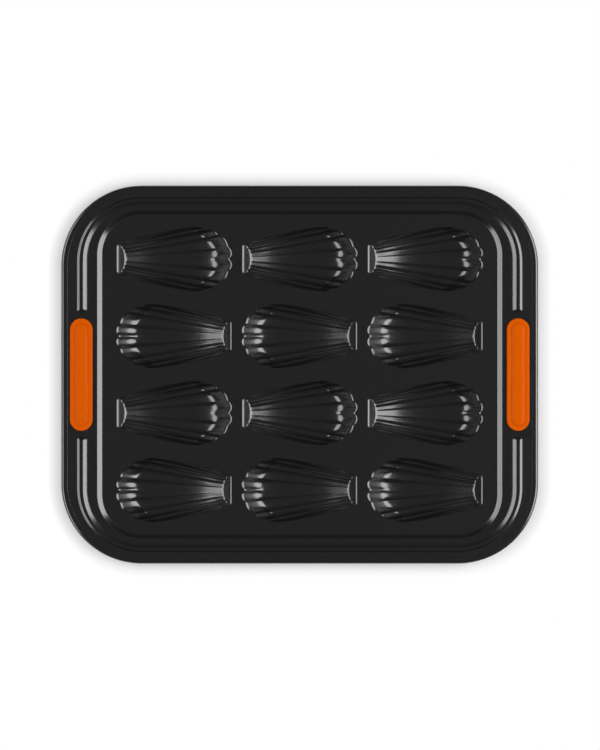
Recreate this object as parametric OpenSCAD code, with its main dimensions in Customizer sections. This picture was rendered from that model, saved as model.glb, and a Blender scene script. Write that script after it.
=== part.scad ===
// Twelve-cup shell cake pan: a pressed steel sheet with a rolled rim and two silicone grips.
// Millimetres. X runs along the length, Z is up, and the pan stands on the cups at z = 0.

/* [Overall size] */
// Length over the rolled rim
pan_l = 403; // [400:1:425]
// Width over the rolled rim
pan_w = 319.5; // [318:0.5:340]
// Outer radius of the four corners
corner_r = 68; // [62:1:74]
// Thickness of the steel sheet
sheet_t = 0.8; // [0.6:0.1:1]

/* [Cup layout] */
// Flat deck between the walls and the cups at the two grip ends
side_margin = 11.5; // [11:0.1:14]
// Flat deck between the walls and the cups at the two long sides
end_margin = 10.3; // [10:0.1:13]
// Flat deck between two cups in a row
column_web = 7.2; // [6.6:0.1:12]
// Flat deck between two rows
row_web = 10.5; // [9:0.1:14]
// How far each cup lies towards its wide end from its place in the grid
wide_end_lead = 0.5; // [0:0.1:1]

/* [Shell cup] */
// Width of the straight hinge edge
hinge_w = 24.4; // [20:0.2:28]
// Greatest depth inside a cup
cup_depth = 13.6; // [12:0.1:15.5]
// Depth inside a cup at the foot of the hinge wall
hinge_depth = 6.65; // [5.5:0.05:7.5]
// Slope of the hinge wall, in degrees
hinge_wall_slope = 47; // [42:1:54]
// Slope at the top of the wall at the shell's wide end, in degrees
end_wall_slope = 46; // [42:1:52]
// Slope of the walls along a shell's two sides, in degrees
side_wall_slope = 65; // [58:1:72]
// How far the side edges bow out from straight lines
side_bow = 2.6; // [1.5:0.1:3.5]
// Width of the rounded bend between deck and cup
bend_w = 2.6; // [2:0.1:3]
// Width of the rounded bend at the hinge edge
hinge_bend_w = 2.4; // [1.8:0.1:3.2]
// Radius of the two rounded ends of the hinge edge
hinge_corner_r = 2; // [1:0.1:3]
// Depth pressed flat under each cup, where the pan stands
foot_flat = 0.15; // [0.1:0.05:0.25]

/* [Flange at the two grip ends] */
// Outer foot of the rib, from the pan's edge
side_rib_start = 13.8; // [12.8:0.2:14.8]
// Inner foot of the rib, from the pan's edge
side_rib_end = 21.9; // [20.9:0.2:23.1]
// Top of the wall down to the deck, from the pan's edge
side_wall_top = 30.7; // [29.5:0.2:31.1]
// Foot of the wall, where the deck begins, from the pan's edge
side_wall_foot = 34.3; // [33.5:0.2:34.9]

/* [Flange at the two long sides] */
// Outer foot of the rib, from the pan's edge
end_rib_start = 9.8; // [9:0.2:10.4]
// Inner foot of the rib, from the pan's edge
end_rib_end = 16.2; // [15:0.2:17]
// Top of the wall down to the deck, from the pan's edge
end_wall_top = 21.4; // [20.8:0.2:21.8]
// Foot of the wall, where the deck begins, from the pan's edge
end_wall_foot = 24.5; // [23.7:0.2:24.9]

/* [Flange heights] */
// Flange above the deck
flange_h = 3.9; // [3.4:0.1:5]
// Rib above the flange
rib_h = 0.9; // [0.5:0.1:1.4]
// Inner band above the deck
band_h = 2.5; // [2:0.1:3]

/* [Rolled rim] */
// Diameter of the wire inside the rim
wire_d = 3.1; // [2.6:0.1:3.4]
// Clearance between the wire and the sheet around it
wire_gap = 0.05; // [0.05:0.01:0.1]
// How far the bead stands above the flange
bead_rise = 0.2; // [0.1:0.05:0.4]
// Width of sheet from the pan's edge that belongs to the rolled rim
roll_w = 6.4; // [6:0.1:6.8]

/* [Silicone grips] */
// Length of a grip
grip_l = 95; // [85:0.5:100]
// Width of a grip
grip_w = 19.1; // [18:0.1:20.4]
// Distance from the pan's edge to the grip
grip_inset = 7.5; // [7:0.1:8]
// Width of the lip round the grip's raised panel
lip_w = 4; // [3:0.1:5]
// Thickness of the upper lip
lip_t = 1.5; // [1:0.1:2]
// Thickness of the lower lip
under_lip_t = 1.2; // [0.8:0.1:1.6]
// Rise of the panel's crown above the upper lip
crown_h = 0.9; // [0.5:0.1:1.4]
// Clearance between a grip and its slot
slot_gap = 0.1; // [0.05:0.05:0.2]

/* [Hidden] */
rows = 4;
columns = 3;
half_l = pan_l / 2;
half_w = pan_w / 2;
// The cups share what the margins and webs leave of the deck.
cup_l = (pan_l - 2 * (side_wall_foot + side_margin) - (columns - 1) * column_web) / columns;
cup_w = (pan_w - 2 * (end_wall_foot + end_margin) - (rows - 1) * row_web) / rows;
column_pitch = cup_l + column_web;
row_pitch = cup_w + row_web;
steel = [0.15, 0.15, 0.155];
wire_steel = [0.6, 0.6, 0.6];
silicone = [0.86, 0.34, 0.02];
$fn = 64;

// A shell has four flutes on each side of its axis, and a ridge where two flutes meet.
flutes = 4;
// Height of the deck's upper face: the cup, its sheet and the flat pressed under it.
deck_z = cup_depth + sheet_t - foot_flat;

// Plan of a shell: the wide end is a half ellipse that starts this far from the hinge edge.
half_cup = cup_w / 2;
half_hinge = hinge_w / 2;
tip_r = half_cup + 4;
end_u = cup_l - tip_r;
hinge_fan = 1.25;
bow_power = 4;
// Angles at which the ridges meet the rim, and how far each notches the rim, from the axis outwards.
ridge_angle = [0, 21.5, 47.5, 70, 90];
ridge_notch = [2.7, 1.3, 1.2, 1.2, 0];
// Depth of each ridge and extra depth of each flute, as shares of the depth on the axis.
ridge_share = [1, 0.95, 0.83, 0.53, 0];
flute_share = [0.19, 0.11, 0.12, 0.2];
// How much of its extra depth each flute has at the hinge edge, and the power that it grows with.
flute_start = [0.18, 0.45, 0.8, 1];
flute_growth = [2, 1, 1, 1];
// How much deeper the ridges are at the hinge edge, and the share of a line where that ends.
hinge_lift = [0, 0.03, 0.07, 0.15, 0];
hinge_reach = 0.18;
// The ridge on the axis is rounded off, over a quarter of a flute on each side.
axis_ease = 0.095;
deepest_share = 1.0712;
floor_depth = cup_depth / deepest_share;
// The floor falls from the hinge wall's foot, first in a nearly straight ramp, then along an arc.
foot_u = 0.082 * cup_l;
ramp_u = 0.212 * cup_l;
ramp_r = 420;
low_u = 0.505 * cup_l;
arc_l = low_u - ramp_u;
arc_fall = floor_depth - hinge_depth - pow(ramp_u - foot_u, 2) / (2 * ramp_r);
floor_r = (arc_l * arc_l / 2 + arc_l * (ramp_u - foot_u)) / arc_fall;
// Towards the wide end it rises again, along two arcs.
rise_u = 0.606 * cup_l;
rise_r = 112;
lift_u = 0.81 * cup_l;
lift_r = 82;
// The wall at the wide end is slightly hollow.
wall_r = 29;
wall_hollow_w = 14;
end_blend = 0.6;
hinge_blend = 0.25;
side_blend = 1;

function mix(a, b, f) = a + (b - a) * f;
function smooth_min(a, b, k) =
    let (h = max(k - abs(a - b), 0) / k)
    min(a, b) - h * h * k / 4;
// A wall of slope m that starts with a bend of width w.
function bend(x, m, w) = x <= 0 ? 0 : x < w ? m * x * x / (2 * w) : m * (x - w / 2);

// Number of the flute that t lies in, and how far across that flute it is.
function flute(t) = min(flutes - 1, floor(t));
function across(t) = t - flute(t);
function rim_angle(t) = mix(ridge_angle[flute(t)], ridge_angle[flute(t) + 1], across(t));
function rim_notch(t) =
    let (x = 2 * across(t) - 1, near = x < 0 ? flute(t) : flute(t) + 1)
    ridge_notch[near] * x * x;
function rim_r(t) =
    let (c = cos(rim_angle(t)))
    half_cup + (tip_r - half_cup) * c * c - rim_notch(t);
function rim_point(t) = [end_u + rim_r(t) * cos(rim_angle(t)), rim_r(t) * sin(rim_angle(t))];
function hinge_point(t) =
    let (
        y = half_hinge * pow(t / flutes, hinge_fan),
        over = max(y - half_hinge + hinge_corner_r, 0)
    )
    [hinge_corner_r - sqrt(max(hinge_corner_r * hinge_corner_r - over * over, 0)), y];

// A point of the plan on flute line t, at share s of its way from the hinge edge to the rim.
function plan(s, t) =
    let (h = hinge_point(t), r = rim_point(t), bow = side_bow * pow(t / flutes, bow_power))
    [mix(h.x, r.x, s), mix(h.y, r.y, s) + 4 * bow * s * (1 - s)];
function line_l(t) = norm(rim_point(t) - hinge_point(t));

// Depth below the deck's upper face.
function grown(s, f) = mix(flute_start[f], 1, pow(s, flute_growth[f]));
function near_hinge(s) = let (x = min(s / hinge_reach, 1)) 1 - x * x * (3 - 2 * x);
function section_share(s, t) =
    mix(ridge_share[flute(t)], ridge_share[flute(t) + 1], across(t))
    + mix(hinge_lift[flute(t)], hinge_lift[flute(t) + 1], across(t)) * near_hinge(s)
    + 4 * flute_share[flute(t)] * grown(s, flute(t)) * across(t) * (1 - across(t))
    + axis_ease * grown(s, 0) * pow(max(1 - 4 * t, 0), 2);
function arc_drop(x, r) = pow(max(x, 0), 2) / (2 * r);
function axis_depth(u) =
    let (arc = min(max(low_u - u, 0), arc_l), ramp = max(ramp_u - u, 0))
    floor_depth - (arc * arc / 2 + arc * ramp) / floor_r - arc_drop(ramp, ramp_r)
    - arc_drop(u - rise_u, rise_r) - arc_drop(u - lift_u, lift_r);
function end_wall(x) =
    bend(x, tan(end_wall_slope), bend_w) - arc_drop(min(x - bend_w, wall_hollow_w), wall_r);
function depth(s, t) =
    let (
        p = plan(s, t),
        side = norm(plan(s, flutes) - p),
        end = (1 - s) * line_l(t),
        floor_d = max(axis_depth(p.x), 0) * section_share(s, t),
        end_d = end_wall(end),
        hinge_d = bend(p.x - hinge_point(t).x, tan(hinge_wall_slope), hinge_bend_w),
        side_d = bend(side, tan(side_wall_slope), bend_w)
    )
    max(0, smooth_min(smooth_min(smooth_min(floor_d, end_d, end_blend), side_d, side_blend),
        hinge_d, hinge_blend));

// The inner face, for t on either side of the axis.
function inside(s, t) =
    let (p = plan(s, abs(t)))
    [p.x, t < 0 ? -p.y : p.y, -depth(s, abs(t))];
probe = 0.02;
function unit(v) = v / norm(v);
function normal(s, t) =
    unit(cross(
        inside(min(s + probe / 4, 1), t) - inside(max(s - probe / 4, 0), t),
        inside(s, min(t + probe, flutes)) - inside(s, max(t - probe, -flutes))
    ));

// Grid of a cup: flute lines across, and stations along each line from its two ends.
half_lines = [0, 1/3, 2/3, 1, 4/3, 5/3, 2, 7/3, 8/3, 3, 3.25, 3.6, 3.85, 4];
lines = [for (k = [len(half_lines) - 1:-1:1]) -half_lines[k], each half_lines];
from_hinge = [0, 1.9, 7.4, 11];
from_rim = [35.5, 22, 15, 11.5, 2, 0];
middle_rows = 2;
function stations(l) = [
    each [for (a = from_hinge) a / l],
    for (k = [1:middle_rows])
        mix(from_hinge[3] / l, 1 - from_rim[0] / l, k / (middle_rows + 1)),
    each [for (b = from_rim) 1 - b / l]
];
row_n = len(from_hinge) + middle_rows + len(from_rim);
line_n = len(lines);
function on_edge(i, j) = i == 0 || i == row_n - 1 || j == 0 || j == line_n - 1;
function rim_ring() = concat(
    [for (j = [0:line_n - 1]) [0, j]],
    [for (i = [1:row_n - 1]) [i, line_n - 1]],
    [for (j = [line_n - 2:-1:0]) [row_n - 1, j]],
    [for (i = [row_n - 2:-1:1]) [i, 0]]
);
function grid_s(i, t) = stations(line_l(abs(t)))[i];
ring = rim_ring();
outline = [for (q = ring)
    let (t = lines[q[1]], p = inside(grid_s(q[0], t), t))
    [p.x, p.y]];

function inner_points() = [for (i = [0:row_n - 1]) for (t = lines) inside(grid_s(i, t), t)];
function outer_points() = [for (i = [0:row_n - 1]) for (j = [0:line_n - 1])
    let (t = lines[j], s = grid_s(i, t), n = on_edge(i, j) ? [0, 0, 1] : normal(s, t))
    inside(s, t) - sheet_t * n];
cup_n = row_n * line_n;
function spot(i, j) = i * line_n + j;
function cup_faces() = concat(
    [for (i = [0:row_n - 2]) for (j = [0:line_n - 2]) each [
        [spot(i, j), spot(i, j + 1), spot(i + 1, j + 1)],
        [spot(i, j), spot(i + 1, j + 1), spot(i + 1, j)],
        [cup_n + spot(i, j), cup_n + spot(i + 1, j + 1), cup_n + spot(i, j + 1)],
        [cup_n + spot(i, j), cup_n + spot(i + 1, j), cup_n + spot(i + 1, j + 1)]
    ]],
    [for (k = [0:len(ring) - 1])
        let (
            a = spot(ring[k][0], ring[k][1]),
            next = ring[(k + 1) % len(ring)],
            b = spot(next[0], next[1])
        )
        each [[a, cup_n + b, b], [a, cup_n + a, cup_n + b]]]
);

// Places of the cups: odd rows, counted from the top, have their hinge on the left.
function column_x(c) = (c - (columns + 1) / 2) * column_pitch;
function row_y(r) = ((rows + 1) / 2 - r) * row_pitch;
function flipped(r) = r % 2 == 0;
module at_cup(r, c)
    translate([column_x(c), row_y(r), 0])
        rotate(flipped(r) ? 180 : 0)
            translate([wide_end_lead - cup_l / 2, 0, 0])
                children();

module shell_cup(r, c) {
    color(steel)
        difference() {
            at_cup(r, c)
                translate([0, 0, deck_z])
                    polyhedron(concat(inner_points(), outer_points()), cup_faces(), 10);
            translate([-half_l, -half_w, -cup_depth])
                cube([pan_l, pan_w, cup_depth]);
        }
}

// Sections of the flange from the rolled rim to the deck: distance from the pan's edge
// at the grip ends, the same at the long sides, and height above the deck.
side_rib_w = side_rib_end - side_rib_start;
end_rib_w = end_rib_end - end_rib_start;
crest_h = flange_h + rib_h;
rib_foot_h = mix(band_h, crest_h, 0.27);
// Shares of the rib's width at which its outer flank eases off and its crest starts and ends.
ease_at = 0.185;
crest_from = 0.31;
crest_to = 0.58;
ease_h = flange_h + 0.9 * rib_h;
crest_fall = 0.05;
// The inner band settles towards the wall, and bends just before it.
band_rise = 0.25;
band_middle = 0.46;
side_bend_lead = 1;
end_bend_lead = 0.7;
bend_drop = 0.1;
flange_section = [
    [roll_w, roll_w, flange_h],
    [side_rib_start, end_rib_start, flange_h],
    [side_rib_start + ease_at * side_rib_w, end_rib_start + ease_at * end_rib_w, ease_h],
    [side_rib_start + crest_from * side_rib_w, end_rib_start + crest_from * end_rib_w, crest_h],
    [side_rib_start + crest_to * side_rib_w, end_rib_start + crest_to * end_rib_w, crest_h - crest_fall],
    [side_rib_end, end_rib_end, rib_foot_h],
    [mix(side_rib_end, side_wall_top, band_middle), mix(end_rib_end, end_wall_top, band_middle),
        band_h + band_rise],
    [side_wall_top - side_bend_lead, end_wall_top - end_bend_lead, band_h],
    [side_wall_top, end_wall_top, band_h - bend_drop],
    [side_wall_foot, end_wall_foot, 0]
];
section_n = len(flange_section);

// Under the grips the flange is one slope without the rib, from the flange down to the band.
slope_start = grip_inset - 0.3;
slope_end = side_wall_top - side_bend_lead;
grip_slope = atan((flange_h - band_h) / (slope_end - slope_start));
function slope_h(reach) =
    reach >= side_wall_top ? undef
    : mix(flange_h, band_h, max(0, min(1, (reach - slope_start) / (slope_end - slope_start))));
rib_end_y = grip_l / 2 + 8;
plain_y = grip_l / 2 + 4.5;
rib_mid_y = (plain_y + rib_end_y) / 2;
function rib_share(y) = max(0, min(1, (abs(y) - plain_y) / (rib_end_y - plain_y)));

corner_steps = 12;
side_ys = [-rib_end_y, -rib_mid_y, -plain_y, plain_y, rib_mid_y, rib_end_y];
// One closed curve of the flange, for a reach from the edge at the grip ends and the long sides.
function corner(reach, quarter) =
    let (
        r = corner_r - reach.x,
        cx = half_l - corner_r,
        cy = half_w - reach.y - r,
        sx = quarter == 0 || quarter == 3 ? 1 : -1,
        sy = quarter < 2 ? 1 : -1
    )
    [for (k = [0:corner_steps])
        let (a = 90 * quarter + 90 * k / corner_steps)
        [sx * cx + r * cos(a), sy * cy + r * sin(a)]];
function curve(reach) = concat(
    [for (y = side_ys) [half_l - reach.x, y]],
    corner(reach, 0),
    corner(reach, 1),
    [for (y = side_ys) [reach.x - half_l, -y]],
    corner(reach, 2),
    corner(reach, 3)
);
curve_n = len(curve([0, 0]));
function on_side(k) = k < len(side_ys)
    || (k >= len(side_ys) + 2 * corner_steps + 2 && k < 2 * len(side_ys) + 2 * corner_steps + 2);
function top_h(m, p, k) =
    let (q = flange_section[m], flat_h = slope_h(q[0]))
    on_side(k) && flat_h != undef ? mix(flat_h, q[2], rib_share(p.y)) : q[2];
function sheet_points(m) =
    let (q = flange_section[m], loop = curve([q[0], q[1]]))
    [for (k = [0:curve_n - 1]) [loop[k].x, loop[k].y, deck_z + top_h(m, loop[k], k)]];
// The lower face leans out at the wall, so that the sheet keeps its thickness there.
wall_lean = sheet_t * tan(atan(band_h / (side_wall_foot - side_wall_top)) / 2);
function lower_reach(m) =
    let (q = flange_section[m], lean = m == section_n - 2 ? wall_lean : 0)
    [q[0] + lean, q[1] + lean];
function lower_points(m) =
    let (q = flange_section[m], loop = curve(lower_reach(m)))
    [for (k = [0:curve_n - 1]) [loop[k].x, loop[k].y, deck_z + top_h(m, loop[k], k) - sheet_t]];
flange_points = concat(
    [for (m = [0:section_n - 1]) each sheet_points(m)],
    [for (m = [section_n - 1:-1:0]) each lower_points(m)]
);
flange_faces = [for (m = [0:2 * section_n - 1]) for (k = [0:curve_n - 1])
    let (
        up = (m + 1) % (2 * section_n),
        next = (k + 1) % curve_n,
        a = m * curve_n + k,
        b = m * curve_n + next,
        c = up * curve_n + next,
        d = up * curve_n + k
    )
    each [[a, c, b], [a, d, c]]];

// A stadium: a straight middle with round ends, along Y.
module stadium(l, w) {
    square([w, l - w], center = true);
    for (side = [-1, 1])
        translate([0, side * (l - w) / 2])
            circle(d = w);
}

slot_l = grip_l - 2 * lip_w;
slot_w = grip_w - 2 * lip_w;
grip_mid = grip_inset + grip_w / 2;
// Places a grip's own frame, with its lip's lower face at height 0, on the sloping flange.
module at_grip(side)
    translate([side * (half_l - grip_mid), 0, deck_z + slope_h(grip_mid)])
        rotate([0, side * -grip_slope, 0])
            children();

module pan_flange() {
    color(steel)
        difference() {
            polyhedron(flange_points, flange_faces, 10);
            for (side = [-1, 1])
                at_grip(side)
                    translate([0, 0, -5])
                        linear_extrude(10)
                            stadium(slot_l + 2 * slot_gap, slot_w + 2 * slot_gap);
        }
}

module pan_deck() {
    color(steel)
        translate([0, 0, deck_z - sheet_t])
            linear_extrude(sheet_t)
                difference() {
                    polygon(curve([side_wall_foot, end_wall_foot]));
                    for (r = [1:rows])
                        for (c = [1:columns])
                            at_cup(r, c)
                                polygon(outline);
                }
}

// Sections of the rolled rim and of its wire, with the pan's edge at x = 0.
wire_r = wire_d / 2;
bore_r = wire_r + wire_gap;
bead_r = bore_r + sheet_t;
bead_z = flange_h + bead_rise - bead_r;
// The sheet's edge ends short of the flange, which leaves the roll open underneath.
mouth_drop = 0.2;
mouth_cut = 0.5;
module roll_section() {
    difference() {
        union() {
            translate([-bead_r, bead_z])
                circle(bead_r);
            translate([-roll_w, flange_h - sheet_t])
                square([roll_w - bead_r, sheet_t]);
        }
        translate([-bead_r, bead_z])
            circle(bore_r);
        translate([-roll_w, bead_z - mouth_drop])
            square([roll_w - bead_r - mouth_cut, flange_h - sheet_t - bead_z + mouth_drop]);
    }
}
module wire_section()
    translate([-bead_r, bead_z])
        circle(wire_r);

// Sweeps a section along the pan's outer edge.
module round_rim() {
    for (side = [0, 1])
        rotate(180 * side) {
            translate([half_l, corner_r - half_w, deck_z])
                rotate([90, 0, 180])
                    linear_extrude(pan_w - 2 * corner_r)
                        mirror([1, 0])
                            children();
            translate([corner_r - half_l, half_w, deck_z])
                rotate([90, 0, 90])
                    linear_extrude(pan_l - 2 * corner_r)
                        children();
            translate([half_l - corner_r, half_w - corner_r, deck_z])
                rotate_extrude(angle = 90)
                    translate([corner_r, 0])
                        children();
            translate([corner_r - half_l, half_w - corner_r, deck_z])
                rotate([0, 0, 90])
                    rotate_extrude(angle = 90)
                        translate([corner_r, 0])
                            children();
        }
}
module rolled_rim() {
    color(steel)
        round_rim()
            roll_section();
}
module rim_wire() {
    color(wire_steel)
        round_rim()
            wire_section();
}

// Half of a grip's section, with its lip's lower face at height 0 and its middle at x = 0.
half_grip = grip_w / 2;
half_panel = slot_w / 2;
panel_r = (half_panel * half_panel + crown_h * crown_h) / (2 * crown_h);
lip_round = lip_t / 2;
under_lip_inset = 1;
neck_play = 0.05;
groove_r = 0.35;
module half_grip_section() {
    difference() {
        union() {
            square([half_grip - lip_round, lip_t]);
            translate([half_grip - lip_round, lip_t / 2])
                circle(lip_round);
            intersection() {
                translate([0, lip_t + crown_h - panel_r])
                    circle(panel_r);
                translate([0, lip_t / 2])
                    square([half_panel, lip_t / 2 + 2 * crown_h]);
            }
            translate([0, -sheet_t - neck_play])
                square([half_panel, sheet_t + neck_play + lip_t / 2]);
            translate([0, -sheet_t - neck_play - under_lip_t])
                square([half_grip - under_lip_inset, under_lip_t]);
        }
        translate([half_panel + groove_r / 2, lip_t])
            circle(groove_r);
    }
}
module grip(side) {
    color(silicone)
        at_grip(side) {
            for (half = [0, 1])
                rotate([90, 0, 180 * half])
                    linear_extrude(grip_l - grip_w, center = true)
                        half_grip_section();
            for (half = [0, 1])
                rotate(180 * half)
                    translate([0, (grip_l - grip_w) / 2, 0])
                        rotate_extrude(angle = 180)
                            half_grip_section();
        }
}

function cup_name(r, c) = str("shell_cup_r", r, "c", c);
cup_names = [for (r = [1:rows]) for (c = [1:columns]) cup_name(r, c)];

pan_deck();
pan_flange();
rolled_rim();
rim_wire();
grip(-1);  // grip_left
grip(1);  // grip_right
for (r = [1:rows])
    for (c = [1:columns])
        shell_cup(r, c);
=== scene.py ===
import math

import bmesh
import bpy
import numpy as np
from bpy.props import FloatProperty, FloatVectorProperty, IntProperty, PointerProperty
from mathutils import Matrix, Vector
from mathutils.geometry import delaunay_2d_cdt


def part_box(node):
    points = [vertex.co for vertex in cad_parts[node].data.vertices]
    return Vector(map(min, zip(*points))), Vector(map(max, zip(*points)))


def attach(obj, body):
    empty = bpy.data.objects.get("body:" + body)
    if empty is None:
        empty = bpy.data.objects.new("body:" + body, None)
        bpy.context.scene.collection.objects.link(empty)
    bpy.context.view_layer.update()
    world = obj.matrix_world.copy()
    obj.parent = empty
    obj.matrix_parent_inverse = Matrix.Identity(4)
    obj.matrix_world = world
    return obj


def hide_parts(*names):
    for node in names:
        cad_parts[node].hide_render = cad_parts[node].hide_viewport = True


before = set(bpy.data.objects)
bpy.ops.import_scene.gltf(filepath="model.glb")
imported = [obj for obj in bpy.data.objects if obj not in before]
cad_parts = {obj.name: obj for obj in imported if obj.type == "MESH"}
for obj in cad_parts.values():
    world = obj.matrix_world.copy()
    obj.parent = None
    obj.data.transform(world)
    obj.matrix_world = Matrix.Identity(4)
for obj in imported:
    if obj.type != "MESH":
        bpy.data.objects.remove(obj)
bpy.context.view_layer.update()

bl_info = {
    "name": "Shell cake pan",
    "version": (1, 0, 0),
    "blender": (4, 5, 0),
    "location": "View3D > Sidebar > Cake pan",
    "description": "Dresses a pressed baking pan with shell cups, a rolled rim and silicone grips",
    "category": "Object",
}

MM = 0.001
ROWS = 4
COLUMNS = 3
HALF_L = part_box("rolled_rim")[1].x
HALF_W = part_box("rolled_rim")[1].y
DECK_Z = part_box("pan_deck")[1].z
SHEET_T = DECK_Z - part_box("pan_deck")[0].z
CUP_BOXES = {
    (r, c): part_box(f"shell_cup_r{r}c{c}")
    for r in range(1, ROWS + 1)
    for c in range(1, COLUMNS + 1)
}
CENTRES = {key: (lo + hi) / 2 for key, (lo, hi) in CUP_BOXES.items()}
COLUMN_PITCH = CENTRES[(1, 2)].x - CENTRES[(1, 1)].x
ROW_PITCH = CENTRES[(1, 1)].y - CENTRES[(2, 1)].y


# ---- settings ----


def length(name, description, value, **more):
    return FloatProperty(
        name=name, description=description, default=value, unit="LENGTH", precision=5, **more
    )


def slope(name, description, degrees):
    return FloatProperty(
        name=name, description=description, default=math.radians(degrees), subtype="ANGLE"
    )


def share(name, description, value, **more):
    return FloatProperty(name=name, description=description, default=value, **more)


def colour(name, description, value):
    return FloatVectorProperty(
        name=name, description=description, default=value, subtype="COLOR", size=3, min=0, max=1
    )


class CupSettings(bpy.types.PropertyGroup):
    """Sizes of one shell cup"""

    cup_length: length("Length", "From the hinge edge to the tip of the shell", 99 * MM)
    cup_width: length("Width", "Greatest width", 54.6 * MM)
    hinge_width: length("Hinge edge", "Width of the straight hinge edge", 24.4 * MM)
    cup_depth: length("Depth", "Greatest depth inside", 13.6 * MM)
    hinge_depth: length("Hinge depth", "Depth at the foot of the hinge wall", 6.65 * MM)
    hinge_slope: slope("Hinge wall", "Slope of the wall at the hinge edge", 47)
    end_slope: slope("End wall", "Slope of the wall at the wide end", 46)
    side_slope: slope("Side wall", "Slope of the walls at the two sides", 65)
    side_bow: length("Side bow", "How far the sides bow out from straight lines", 2.6 * MM)
    bend_width: length("Edge bend", "Width of the rounded bend between deck and cup", 2.6 * MM)
    hinge_bend: length("Hinge bend", "Width of the rounded bend at the hinge edge", 2.4 * MM)
    middle_lead: length("Lead", "How far the cup lies towards its wide end", 0.5 * MM)
    tip_reach: length("Tip reach", "How far the wide end is drawn out into an ellipse", 4 * MM)


class SheetSettings(bpy.types.PropertyGroup):
    """Sizes of the flange and the rolled rim"""

    corner_radius: length("Corner radius", "Outer radius of the four corners", 68 * MM)
    flange_height: length("Flange height", "Flange above the deck", 3.9 * MM)
    rib_height: length("Rib height", "Rib above the flange", 0.9 * MM)
    band_height: length("Band height", "Inner band above the deck", 2.5 * MM)
    wire_diameter: length("Wire", "Diameter of the wire in the rim", 3.1 * MM)
    bead_rise: length("Bead rise", "How far the bead stands above the flange", 0.2 * MM)
    roll_width: length("Roll width", "Width of sheet that belongs to the rolled rim", 6.4 * MM)


class GripSettings(bpy.types.PropertyGroup):
    """Sizes of a silicone grip"""

    grip_length: length("Length", "Length of a grip", 95 * MM)
    grip_width: length("Width", "Width of a grip", 19.1 * MM)
    edge_inset: length("Inset", "Distance from the pan's edge to the grip", 7.5 * MM)
    lip_width: length("Lip width", "Width of the lip round the raised panel", 4 * MM)
    lip_thickness: length("Lip thickness", "Thickness of the upper lip", 1.5 * MM)
    crown_height: length("Crown", "Rise of the raised panel above the lip", 0.75 * MM)
    groove_radius: length("Groove", "Radius of the groove between lip and panel", 0.35 * MM)


class FinishSettings(bpy.types.PropertyGroup):
    """Colours and surface finish"""

    coating: colour("Coating", "Colour of the non-stick coating", (0.0083, 0.0083, 0.0085))
    coating_fleck: colour("Flecks", "Colour of the coating's fine flecks", (0.012, 0.012, 0.0122))
    coating_roughness: share("Coating roughness", "Roughness of the coating", 0.18, min=0, max=1)
    silicone: colour("Silicone", "Colour of the grips", (0.79, 0.116, 0.0))
    silicone_roughness: share("Silicone roughness", "Roughness of the grips", 0.34, min=0, max=1)
    wire: colour("Wire", "Colour of the rim wire", (0.5, 0.5, 0.5))


class StudioSettings(bpy.types.PropertyGroup):
    """Floor, lamps and camera"""

    right_lamp: share("Right lamp", "Brightness of the soft box on the right", 3.9)
    left_lamp: share("Left lamp", "Brightness of the soft box on the left", 3.0)
    right_board: share("Right board", "Brightness of the pale board under the right soft box", 0.7)
    lamp_distance: length("Lamp distance", "From the pan to each soft box", 1.03)
    camera_distance: length("Camera distance", "From the camera to the rim's middle", 3.0)
    frame_width: length("Frame width", "Width of the picture at the rim", 506.9 * MM)
    room_light: share("Room", "Brightness of the dark room above the pan", 0.06)


class PanSettings(bpy.types.PropertyGroup):
    """All of the pan's settings"""

    cup: PointerProperty(type=CupSettings)
    sheet: PointerProperty(type=SheetSettings)
    grip: PointerProperty(type=GripSettings)
    finish: PointerProperty(type=FinishSettings)
    studio: PointerProperty(type=StudioSettings)
    columns: IntProperty(name="Columns", description="Cups in a row", default=COLUMNS)


# ---- mesh helpers ----

# Points closer than the first are merged, and edges shorter than the second are dissolved.
MERGE_DISTANCE = 0.002 * MM
SHORTEST_EDGE = 0.0005 * MM


def solid(name, points, faces, material, smooth_to=50):
    """A closed mesh object with its faces turned outwards and its sharp edges marked."""
    points = np.asarray(points, float)
    faces = [tuple(int(i) for i in f) for f in faces]
    volume = 0.0
    for f in faces:
        for k in range(1, len(f) - 1):
            volume += float(np.dot(points[f[0]], np.cross(points[f[k]], points[f[k + 1]])))
    if volume < 0:
        faces = [f[::-1] for f in faces]
    mesh = bpy.data.meshes.new(name)
    mesh.from_pydata(points.tolist(), [], faces)
    mesh.update()
    build = bmesh.new()
    build.from_mesh(mesh)
    bmesh.ops.remove_doubles(build, verts=build.verts, dist=MERGE_DISTANCE)
    bmesh.ops.dissolve_degenerate(build, edges=build.edges, dist=SHORTEST_EDGE)
    for face in build.faces:
        face.smooth = True
    build.to_mesh(mesh)
    build.free()
    mesh.set_sharp_from_angle(angle=math.radians(smooth_to))
    mesh.materials.append(material)
    piece = bpy.data.objects.new(name, mesh)
    bpy.context.scene.collection.objects.link(piece)
    return piece


def finished(piece, slot, *nodes):
    """Parents a finished piece to the root body and hides the CAD parts that it stands in for."""
    if not piece.data.polygons:
        raise RuntimeError(f"{piece.name} came out empty")
    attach(piece, "root")
    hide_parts(*nodes)


def smooth_min(a, b, k):
    h = np.maximum(k - np.abs(a - b), 0) / k
    return np.minimum(a, b) - h * h * k / 4


def smooth_max(a, b, k):
    return -smooth_min(-a, -b, k)


def bend(x, m, w):
    """Depth of a wall of slope m at distance x, which starts with a bend of width w."""
    return np.where(x <= 0, 0, np.where(x < w, m * x * x / (2 * w), m * (x - w / 2)))


def grid_normals(points):
    """Upward unit normals of an array of points [rows, columns, 3]."""
    down = np.gradient(points, axis=0)
    along = np.gradient(points, axis=1)
    n = np.cross(down, along)
    n /= np.maximum(np.linalg.norm(n, axis=2, keepdims=True), 1e-12)
    return np.where(n[..., 2:3] < 0, -n, n)


# ---- shell cup ----

# A cup has this many flutes on each side of its axis, with a ridge wherever two of them meet.
FLUTES = 4
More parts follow.
